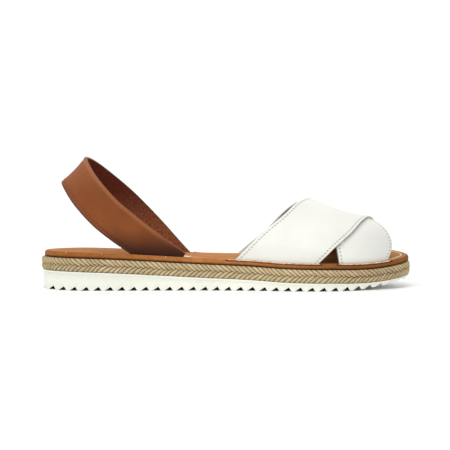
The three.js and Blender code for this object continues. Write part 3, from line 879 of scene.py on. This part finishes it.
def strapMesh(surface, profile, piece, dents):
    # carries the profile along the surface, and presses in the seam's groove, its holes and the
    # dents, each by a bell curve of the distance from its middle
    seam, margin = piece["seam"], piece["margin"]
    u = np.linspace(0, 1, piece["steps"])[:, None]
    scale = []
    for edge in (0.0, 1.0):
        run, across, _ = slopes(surface, u, 0 * u + edge)
        scale.append(np.linalg.norm(np.cross(across, run), axis=-1) / np.linalg.norm(run, axis=-1))
    kind, reach, offset, inside, cutEdge = profile.T
    outerFace = offset > 0
    start, end = margin / scale[0], 1 - margin / scale[1]
    v = np.where(kind == 1, 1 - reach / scale[1], start + (end - start) * reach)
    v = np.where(kind == 0, reach / scale[0], v)
    grid = u + 0 * v
    hole, sunk, stitches = 0 * v, 0 * v, []
    for edge in seam["edges"]:
        at = seam["reach"] / scale[edge][:, 0]
        seamV = at if edge == 0 else 1 - at
        walked = lengthsAlong(surface(u[:, 0], seamV))
        pitch = walked[-1] / round(walked[-1] / seam["pitch"])
        phase = np.mod(walked / pitch, 1)[:, None] - 0.5
        near = np.exp(-(((reach - seam["reach"]) / seam["width"]) ** 2)) * ((kind == edge) & outerFace)
        pits = np.exp(-((phase * pitch / seam["hole"]) ** 2)) * near
        hole = np.maximum(hole, pits)
        sunk = sunk + seam["groove"] * (0.6 * near + pits)
        here = np.interp(np.arange(pitch, walked[-1] - pitch / 2, pitch), walked, u[:, 0])
        ahead = np.clip(here + 1e-3, 0, 1)
        spot, spotAhead = (surface(part, np.interp(part, u[:, 0], seamV)) for part in (here, ahead))
        out = slopes(surface, here, np.interp(here, u[:, 0], seamV))[2]
        stitches.append((spot + out * seam["height"], unit(spotAhead - spot), out))
    pressed = (inside < 0.5) | (kind != 0.5)
    for spotU, spotV, lengthU, widthV, depth in dents:
        bell = np.exp(-(((grid - spotU) / lengthU) ** 2) - ((v - spotV) / widthV) ** 2)
        sunk = sunk + depth * bell * pressed
    normal = slopes(surface, grid, v)[2]
    points = surface(grid, v) + normal * (offset - sunk * np.sign(offset))[..., None]
    length = lengthsAlong(surface(u[:, 0], 0 * u[:, 0] + 0.5))
    uv = np.stack([length[:, None] + 0 * v, v * 30 + 60 * inside], axis=-1) / 1000
    # hole carries the painted shade in the stitch holes
    masks = {"inside": inside + 0 * v, "cutEdge": cutEdge + 0 * v, "hole": hole}
    # roll carries the painted highlight along the rolled upper edge
    masks["roll"] = (1 - smoothStep(reach, 0.9, 3.2)) * (kind == 1) * outerFace + 0 * v
    masks["lowEdge"] = (1 - smoothStep(reach, 0.7, 1.4)) * (kind == 0) * outerFace + 0 * v
    return points, closedTube(*v.shape), masks, uv, stitches


def stitchMesh(sets, length, radius, bow):
    # every stitch is a short thread that bows up as a parabola and grows thin at its ends, which
    # dive into the leather
    t = np.linspace(-1, 1, 7)[:, None]
    turn = np.linspace(0, fullTurn, 8, endpoint=False)[None, :]
    thick = radius * (1 - np.abs(t) ** 5 * 0.75)
    parts = [t * length / 2 + 0 * turn, thick * np.cos(turn), bow * (0.25 - t * t) + thick * np.sin(turn)]
    local = np.stack(parts, axis=-1).reshape(-1, 3)
    rows = []
    for centre, run, out in sets:
        axes = np.stack([run, unit(np.cross(out, run)), out], axis=1)
        points = centre[:, None] + np.einsum("mk,nkd->nmd", local, axes)
        quads = closedTube(len(t), turn.size) + (np.arange(len(centre)) * len(local))[:, None, None]
        rows.append((points.reshape(-1, 3), quads.reshape(-1, 4)))
    return joined(rows)


def threadPaint(name, light, dark, lowShade=None):
    paint = Paint(name, Roughness=0.7)
    twist = paint.noise(1.0, 2.0, 0.5, paint.place((3800.0, 3800.0, 3800.0)))
    coats = [(paint.between(twist, 0.35, 0.65), light)]
    if lowShade:
        # painted shade, darker low down near the strap's base
        coats.append((1 - paint.between(paint.axis(2), 0.026, 0.048), lowShade))
    paint.finish(Base_Color=paint.layers(dark, *coats), Normal=paint.bump(twist, 0.0001))
    return paint.material


# Vamp: white leather over a brown lining
vamp = {
    "steps": 520,
    "upperColumns": 14,  # columns of the middle of the outer face, finer where the shading lies
    "lowerColumns": 42,
    "shade": 2.0,  # reach of the shading beside the upper strap's front edge
    "corner": 0.5,
    "margin": 6.5,  # white leather folded round to the inside
    "bead": (),
    "seam": {
        "edges": (0, 1), "reach": 2.0, "width": 0.36, "groove": 0.1,
        "pitch": 2.3, "hole": 0.5, "height": 0.93,
    },
    "stitch": (1.6, 0.2, 0.16),  # length, radius, bow
    # along, across, lengths and depth of the soft troughs and ridges
    "upperDents": (
        (0.3, 0.45, 0.07, 0.25, 0.25),
        (0.62, 0.6, 0.06, 0.2, 0.2),
        (0.16, 0.7, 0.05, 0.18, -0.15),
    ),
    "lowerDents": ((0.85, 0.5, 0.05, 0.3, 0.35), (0.35, 0.4, 0.08, 0.2, 0.2)),
}


def whiteLeather():
    paint = Paint("whiteLeather", Roughness=0.4)
    pebble, grain = paint.cells(1300.0), paint.noise(850.0, 4.0, 0.6)
    cloud = paint.noise(28.0, 3.0, 0.6)
    inside, cutEdge = paint.mask("inside"), paint.mask("cutEdge")
    # low: painted shade on the toe strap's lower front part
    low = paint.between(paint.axis(0), 0.07, 0.115) * (1 - paint.between(paint.axis(2), 0.03, 0.055))
    # brown lining, its tones made darker as painted shade inside the straps
    lining = paint.layers((84, 44, 26), (grain, (112, 64, 40)))
    # white folded margin at the rear edge, greyer higher up as painted shade
    foldShaded = paint.layers((244, 244, 238), (paint.between(paint.axis(2), 0.034, 0.06), (170, 170, 166)))
    rear = 1 - paint.between(paint.axis(0), 0.036, 0.046)
    tint = paint.layers(
        (227, 227, 218),
        (paint.between(cloud, 0.3, 0.7), (233, 233, 225)),
        (low * 0.8, (204, 204, 200)),
        (paint.between(paint.noise(190.0, 2.0), 0.7, 0.78) * 0.35, (190, 187, 176)),
        (inside, lining),
        (cutEdge * (1 - inside) * 0.9, (158, 155, 148)),
        (inside * cutEdge * rear, foldShaded),
        (paint.mask("shade") * 0.6, (118, 116, 112)),
        # painted shade in the stitch holes
        (paint.mask("hole"), (66, 64, 60)),
    )
    relief = paint.bump(grain + 0.7 * pebble, 0.00007, 0.8, paint.bump(cloud, 0.0008, 0.35))
    paint.finish(Base_Color=tint, Roughness=0.36 + 0.16 * grain + 0.35 * inside, Normal=relief)
    return paint.material


def makeVamp():
    u = np.linspace(0.02, 0.98, 1200)
    frontEdge = trimmed(vampSurface(True))(u, 0 * u + 1)
    parts, stitches = [], []
    for upper in (True, False):
        name = "upper" if upper else "lower"
        surface = trimmed(vampSurface(upper))
        profile = strapProfile(strapForm["vampWall"], vamp, vamp[name + "Columns"])
        points, quads, masks, uv, sets = strapMesh(surface, profile, vamp, vamp[name + "Dents"])
        masks["shade"] = np.zeros(points.shape[:2])
        if not upper:
            # the lower strap is darker close beside the upper strap's front edge
            outer = profile[:, 2] > 0
            apart = np.full((len(points), outer.sum()), np.inf)
            for spot in frontEdge:
                apart = np.minimum(apart, np.linalg.norm(points[:, outer] - spot, axis=-1))
            masks["shade"][:, outer] = np.exp(-((apart / vamp["shade"]) ** 2))
        parts.append((points.reshape(-1, 3), quads, masks, uv.reshape(-1, 2)))
        stitches += sets
    masks = {key: np.concatenate([part[2][key].ravel() for part in parts]) for key in parts[0][2]}
    uv = np.concatenate([part[3] for part in parts])
    makePiece("vamp_straps", *joined(parts), whiteLeather(), "white_leather", "vamp", masks, uv)
    thread = threadPaint("whiteThread", (236, 235, 226), (206, 204, 194))
    makePiece("vamp_stitches", *stitchMesh(stitches, *vamp["stitch"]), thread, "white_leather")


makeVamp()

# Heel strap: tan leather with a rolled upper edge and one seam along its lower edge
sling = {
    "steps": 520,
    "columns": 14,
    "corner": 0.7,
    "margin": 4.2,
    "bead": ((0.28, 1.0, 0.75), (-0.098, 2.6, 0.6)),  # height, distance from the upper edge, width
    "hollow": 0.7,  # how far the middle of the strap draws in at the back
    "hollowReach": 0.17,
    "seam": {
        "edges": (0,), "reach": 2.7, "width": 0.36, "groove": 0.18,
        "pitch": 1.9, "hole": 0.5, "height": 1.05,
    },
    "stitch": (1.35, 0.24, 0.2),
    "dents": ((0.2, 0.4, 0.05, 0.3, 0.3), (0.33, 0.6, 0.06, 0.25, -0.25)),
}


def tanLeather():
    paint = Paint("tanLeather", Roughness=0.5, Specular_IOR_Level=0.14)
    grain, pebble = paint.noise(900.0, 4.0, 0.6), paint.cells(1500.0)
    wrinkle = paint.noise(1.0, 3.0, 0.6, paint.place((560.0, 1250.0, 1.0), "UV"))
    inside, height = paint.mask("inside"), paint.axis(2)
    # the strap's inside, darkened as painted shade, deepest higher up and lighter low down
    deepShade = paint.layers((72, 25, 11), (paint.between(wrinkle, 0.35, 0.62), (96, 38, 18)))
    pale = paint.layers((104, 54, 30), (paint.between(wrinkle, 0.38, 0.64), (160, 98, 62)))
    back = paint.layers(pale, (paint.between(height, 0.032, 0.07), deepShade))
    # cut edge, darker grey on the outer side as painted shade
    cut = paint.layers((134, 78, 44), (paint.between(paint.axis(1), -0.012, 0.008), (74, 60, 52)))
    tint = paint.layers(
        (116, 60, 26),
        (paint.between(paint.noise(26.0, 3.0, 0.6), 0.3, 0.7), (132, 72, 34)),
        (paint.between(grain, 0.6, 0.75) * 0.3, (92, 46, 20)),
        # painted light, lighter higher up the strap
        (paint.between(height, 0.055, 0.088) * 0.45, (158, 98, 62)),
        # painted highlight along the rolled upper edge
        (paint.mask("roll") * 0.4, (176, 116, 74)),
        # painted shade, near black at the strap's base beside the slot
        ((1 - paint.between(height, 0.023, 0.042)) * 0.94, (42, 15, 5)),
        (inside, back),
        (paint.mask("cutEdge") * (1 - inside) * 0.85, cut),
        (paint.mask("lowEdge") * (1 - inside) * 0.75, (64, 44, 34)),
        # painted shade in the stitch holes
        (paint.mask("hole"), (36, 16, 8)),
    )
    relief = paint.bump(grain + 0.6 * pebble, 0.00008, 0.8, paint.bump(wrinkle * inside, 0.0007, 0.8))
    paint.finish(Base_Color=tint, Roughness=0.4 + 0.18 * grain, Normal=relief)
    return paint.material


def makeSling():
    plain = slingSurface()
    edge = np.linspace(0, 1, 801)
    inward = slopes(plain, edge, 0 * edge + 0.5)[2]

    def hollowed(u, v):
        # the middle of the strap drawn in, most at the back of the heel
        out = np.stack([np.interp(u, edge, inward[:, k]) for k in range(3)], axis=-1)
        depth = sling["hollow"] * np.sin(np.pi * np.clip(v, 0, 1))
        depth = depth * np.exp(-(((u - 0.5) / sling["hollowReach"]) ** 2))
        return plain(u, v) - out * depth[..., None]

    profile = strapProfile(strapForm["slingWall"], sling, sling["columns"])
    surface = trimmed(hollowed)
    points, quads, masks, uv, sets = strapMesh(surface, profile, sling, sling["dents"])
    makePiece("heel_strap_leather", points, quads, tanLeather(), "tan_leather", "heel_strap", masks, uv)
    thread = threadPaint("tanThread", (178, 104, 58), (132, 72, 36), (66, 32, 16))
    makePiece("heel_strap_stitches", *stitchMesh(sets, *sling["stitch"]), thread, "tan_leather")
    return surface


slingCut = makeSling()

# Insole: rolled rim, hollow heel, slots with pale cut lips, a seam round the toe
insole = {
    "points": 1400,
    "heelInset": 2.0,
    "toeInset": 1.0,
    # rings of the rim from the underside up: distance in from its edge, depth below the top
    "rim": ((1.2, 3.9), (0.62, 3.84), (0.2, 3.6), (0.02, 3.1), (0.0, 2.4), (0.0, 1.7), (0.1, 1.15),
            (0.35, 0.68), (0.7, 0.32), (1.15, 0.09), (1.65, 0.0)),
    "lipShadow": {6: 0.5, 7: 0.95, 8: 0.9},  # rings of the rim's shoulder that are dark under the lips
    "lipFade": 1.5,
    "footShadow": (2.2, 3.5),  # depths between which the rim's foot grows dark with painted shadow
    # insets of the bed's rings, close together at both sides of the slots
    "bedRings": (3.72, 3.86, 3.95, 4.05, 4.2, 5.2, 6.2, 6.35, 6.45, 6.55, 6.7, 8.2),
    "bedInset": 3.1,  # edge of the heel's hollow
    "bedColumns": 24,
    "cup": 1.0,
    "cupStart": 0.05,
    "cupEnd": 0.45,
    "slotHalf": 1.3,
    "slotDepth": 2.2,
    "slotPlay": 0.6,  # slot beyond the strap's edges
    "slotSoft": 0.15,
    "heelSlot": (1.5, 0.5),  # how far the heel strap's slots start and end past its feet
    # how far a lip runs on before and behind its slot: the vamp's four slots, the heel strap's two
    "lipReach": ((6.0, 1.2), (1.2, 2.4), (3.0, 1.2), (1.2, 2.4), (1.0, 2.2), (1.0, 2.2)),
}


def slotSpans():
    # where the slots start and end: side (1 outer), first and last place along the shoe, lip's extra
    start, long = strapForm["vampBack"] - halfLength, strapForm["vampLength"]
    first, last = start + long * strapRows[0], start + long * strapRows[-1]
    ends = [(0, first[1], first[2]), (0, last[3], last[4]), (1, first[3], first[4]), (1, last[1], last[2])]
    v = np.linspace(0, 1, 21)
    for outer in (0, 1):
        foot = slingCut(0 * v + outer, v)[:, 0]
        ends.append((outer, foot.min() + insole["heelSlot"][0], foot.max() + insole["heelSlot"][1]))
    return [(*end, *extra) for end, extra in zip(ends, insole["lipReach"])]


def bedHeight(x, y):
    # the insole's top, hollowed under the heel by half a sine wave from edge to edge
    inner, outer = edgeAt(x, False, insole["bedInset"]), edgeAt(x, True, insole["bedInset"])
    across = np.clip((y - inner) / np.maximum(outer - inner, 1), 0, 1)
    fade = 1 - smoothStep(x / soleForm["length"] + 0.5, insole["cupStart"], insole["cupEnd"])
    return insoleTop(x) - insole["cup"] * fade * np.sin(np.pi * across)


def insoleLeather():
    paint = Paint("insoleLeather", Roughness=0.6, Specular_IOR_Level=0.03)
    grain, pebble = paint.noise(1000.0, 4.0, 0.6), paint.cells(1400.0)
    cloud = paint.noise(30.0, 3.0, 0.6)
    streak = paint.noise(1.0, 3.0, 0.6, paint.place((220.0, 220.0, 800.0)))
    rim = paint.mask("rim")

    def from_(low, high):
        return paint.between(paint.axis(0), low, high)

    bare = from_(-0.03, -0.021) * (1 - from_(-0.002, 0.006))  # between the two inner slots
    tint = paint.layers(
        (181, 116, 61),
        (paint.between(cloud, 0.3, 0.7), (202, 138, 76)),
        (paint.between(grain, 0.6, 0.8) * 0.35, (126, 68, 30)),
        (rim * paint.between(paint.noise(260.0, 2.0), 0.4, 0.7) * 0.35, (150, 88, 48)),
        (rim * paint.between(streak, 0.35, 0.75) * 0.4, (128, 72, 30)),
        (rim * (1 - 0.75 * bare) * 0.38, (112, 60, 26)),
        # painted shade on the rim towards the heel and, more, towards the toe
        (rim * (1 - from_(-0.12, -0.03)) * 0.2, (98, 52, 24)),
        (rim * from_(0.02, 0.08) * 0.55, (98, 60, 34)),
        ((1 - rim) * from_(0.06, 0.112) * 0.4, (140, 100, 70)),
        # painted shade on the bed under the vamp
        (from_(0.0, 0.03) * (1 - from_(0.085, 0.11)) * (1 - rim) * 0.68, (78, 36, 18)),
        # painted shade inside the slots and painted shadow on the rim's shoulder under the lips
        (paint.mask("slot"), (54, 28, 14)),
        # painted shadow at the rim's foot, over the jute
        (paint.mask("foot") * 0.85, (44, 20, 8)),
    )
    relief = paint.bump(grain + 0.6 * pebble, 0.00008, 0.8, paint.bump(cloud, 0.0008, 0.3))
    paint.finish(Base_Color=tint, Roughness=0.5 + 0.18 * grain, Normal=relief)
    return paint.material


def makeInsole(spans):
    # the same turns on both sides, so that the bed's rows lie nearly straight across
    count = insole["points"]
    innerLength = np.interp(np.pi, outlineTurns, outlineLengths)
    inner = turnAt(np.arange(count // 2) * innerLength / (count // 2))
    turn = np.concatenate([inner, [np.pi], fullTurn - inner[1:][::-1]])
    outerSide = turn > np.pi
    edgeInset = insole["heelInset"] + (insole["toeInset"] - insole["heelInset"]) * (1 - np.cos(turn)) / 2
    rim, soft = insole["rim"], insole["slotSoft"]
    insets = [edgeInset + depth for depth, _ in rim] + [inset + 0 * turn for inset in insole["bedRings"]]
    drops = [drop for _, drop in rim] + [0.0] * len(insole["bedRings"])
    rings, slotMasks = [], []
    for level, (inset, drop) in enumerate(zip(insets, drops)):
        edge = soleEdge(turn, inset)
        x, onRim = edge[:, 0], level < len(rim)
        z = insoleTop(x) - drop if onRim else bedHeight(x, edge[:, 1])
        sunk, dark = 0 * z, 0 * z
        for number, (outer, first, last, before, after) in enumerate(spans):
            side = outerSide == bool(outer)
            if not onRim:
                beyond = beyondSpan(x, first - insole["slotPlay"], last + insole["slotPlay"])
                apart = np.hypot(beyond, inset - strapForm["slotInset"]) - insole["slotHalf"]
                sunk = np.maximum(sunk, (1 - smoothStep(apart, -soft, soft)) * side)
            elif number < 4:  # the vamp's slots
                # painted shadow on the rim's shoulder under the lip
                line = 1 - smoothStep(beyondSpan(x, first - before, last + after), 0, insole["lipFade"])
                dark = np.maximum(dark, line * side * insole["lipShadow"].get(level, 0))
        rings.append(np.column_stack([edge, z - insole["slotDepth"] * sunk]))
        slotMasks.append(np.maximum(sunk, dark))

    def under(x, y):
        return midsoleTop(x) + soleForm["gap"]

    points, quads = plate(np.stack(rings), bedHeight, under, insole["bedColumns"], 3)
    masks = {
        "slot": capped(slotMasks, points),
        "rim": capped(np.repeat((np.arange(len(insets)) < len(rim) - 1).astype(float), count), points),
        "foot": capped(np.repeat(smoothStep(np.array(drops), *insole["footShadow"]), count), points),
    }
    makePiece("insole_leather", points, quads, insoleLeather(), "insole_leather", "insole", masks)


# Pale cut lips along the outer side of each slot
lips = {
    "seed": 5,
    "steps": 60,
    "sides": 12,
    "radius": 0.5,
    "uneven": (0.1, 0.06),  # of the height and of the radius
    "vampInset": 0.95,  # in from the rim's edge
    "vampRise": -0.4,  # over the bed
    "heelInset": 3.75,  # in from the midsole's wall
    "heelTurn": 1.3,  # how far the heel strap's lips turn in at their front
    "heelRise": (0.35, -0.4),  # inner side, outer side
    "heelReach": (1.5, 1.2),
    "heelTall": 1.5,
}


def tube(path, radius, flat):
    # a tube round a path that lies nearly level: rings of twelve points, squeezed by a factor upward
    run = unit(np.gradient(path, axis=0))
    side = unit(np.cross(run, [0, 0, 1.0]))
    up = np.cross(side, run)
    turn = np.linspace(0, fullTurn, lips["sides"], endpoint=False)
    ring = np.cos(turn)[None, :, None] * side[:, None] + flat * np.sin(turn)[None, :, None] * up[:, None]
    points = path[:, None] + ring * radius[:, None, None]
    return points.reshape(-1, 3), closedTube(len(path), len(turn))


def makeLips(spans):
    random = np.random.default_rng(lips["seed"])
    length, share = soleForm["length"], np.linspace(0, 1, lips["steps"])
    ends = np.sqrt(np.clip(1 - (2 * share - 1) ** 10, 0.02, 1))
    pieces = []
    for number, (outer, first, last, before, after) in enumerate(spans):
        heel = number >= 4
        low, high = first - before, last + after
        if heel:
            low, high = last - lips["heelReach"][0], high + lips["heelReach"][1]
        x = np.linspace(low, high, lips["steps"])
        rimInset = insole["heelInset"] + (insole["toeInset"] - insole["heelInset"]) * (x / length + 0.5)
        turned = lips["heelInset"] + lips["heelTurn"] * smoothStep(share, 0.86, 1)
        inset = turned if heel else rimInset + lips["vampInset"]
        y = np.array([edgeAt(a, bool(outer), b) for a, b in zip(x, inset)])
        wobble = np.convolve(random.normal(0, 1, lips["steps"] + 4), np.ones(5) / 5, mode="valid")
        rise = lips["heelRise"][outer] if heel else lips["vampRise"]
        z = bedHeight(x, y) + rise + lips["uneven"][0] * wobble
        radius = (lips["radius"] + lips["uneven"][1] * wobble) * ends
        pieces.append(tube(np.column_stack([x, y, z]), radius, lips["heelTall"] if heel else 1.0))
    points, quads = joined(pieces)
    paint = Paint("slotLipLeather", Roughness=0.8, Specular_IOR_Level=0.1)
    patch = paint.noise(300.0, 3.0, 0.6)
    tint = paint.layers(
        (238, 208, 180),
        (paint.between(patch, 0.42, 0.62), (196, 152, 120)),
        # painted shade on the lips' undersides
        (paint.mask("low"), (58, 28, 14)),
    )
    paint.finish(Base_Color=tint, Normal=paint.bump(patch, 0.0002))
    # low: the lower side of each lip, where its painted shade goes
    around = np.linspace(0, fullTurn, lips["sides"], endpoint=False)
    masks = {"low": np.tile(np.sin(around) < -0.3, len(points) // lips["sides"])}
    makePiece("slot_lips", points, quads, paint.material, "insole_leather", None, masks)


threads = {
    "seamInset": 5.8,
    "seamBend": 81,  # points of the bell-shaped mean that rounds the seam at the toe
    "seamPitch": 2.6,
    "seamStart": 1.5,  # in front of the straps
    "seamRise": 0.03,
    "seamStitch": (2.3, 0.46, 0.55),  # length, radius, bow
    # places along the shoe of the thread ends that cross the rim, inner side and outer side
    "innerTicks": (-105.4, -81.8, -40.3, 7.7, 36.7),
    "outerTicks": (-96.0, -60.0, -18.0, 22.0, 64.0),
    "tickInset": 1.45,
    "tickDepth": 0.75,
    "tickStitch": (1.2, 0.17, 0.15),
}


def makeThreads(spans):
    # the seam round the toe from slot to slot, and thread ends that cross the rim
    start, end = (spans[number][2] + threads["seamStart"] for number in (1, 3))
    turnFrom = np.interp(start, innerSlot[:, 0], halfTurns)
    turnTo = fullTurn - np.interp(end, outerSlot[:, 0], halfTurns)
    line = soleEdge(np.linspace(turnFrom, turnTo, 600), threads["seamInset"])
    bell = np.hanning(threads["seamBend"])
    half = len(bell) // 2
    padded = [np.pad(part, half, mode="reflect", reflect_type="odd") for part in line.T]
    line = np.stack([np.convolve(part, bell / bell.sum(), mode="valid") for part in padded], axis=-1)
    walked = lengthsAlong(line)
    places = np.arange(threads["seamPitch"] / 2, walked[-1], threads["seamPitch"])
    x, y = np.interp(places, walked, line[:, 0]), np.interp(places, walked, line[:, 1])
    run = unit(np.stack([np.gradient(x), np.gradient(y), np.gradient(insoleTop(x))], axis=-1))
    up = np.cross(run, np.cross([0, 0, 1.0], run))
    seam = (np.stack([x, y, insoleTop(x) + threads["seamRise"]], axis=-1), run, up)
    ticks = []
    for sign, places in ((-1, threads["innerTicks"]), (1, threads["outerTicks"])):
        edge = soleEdge(-sign * halfTurns, threads["tickInset"])
        x = np.array(places)
        y = np.interp(x, edge[:, 0], edge[:, 1])
        out = np.array([0, 0.8 * sign, 0.6])
        lean = np.array([0.45, 0, 0]) + np.cross(out, [sign, 0, 0])
        lean = unit(lean - out * lean.dot(out) / out.dot(out))
        centre = np.stack([x, y, insoleTop(x) - threads["tickDepth"]], axis=-1) + out * 0.5
        ones = np.ones((len(x), 1))
        ticks.append((centre, ones * lean, ones * out))
    cream = threadPaint("creamThread", (244, 226, 196), (214, 188, 150))
    makePiece("toe_seam", *stitchMesh([seam], *threads["seamStitch"]), cream, "insole_leather")
    makePiece("rim_threads", *stitchMesh(ticks, *threads["tickStitch"]), cream, "insole_leather")


slotList = slotSpans()
makeInsole(slotList)
makeLips(slotList)
makeThreads(slotList)
print("insole finished")

bpy.context.view_layer.update()
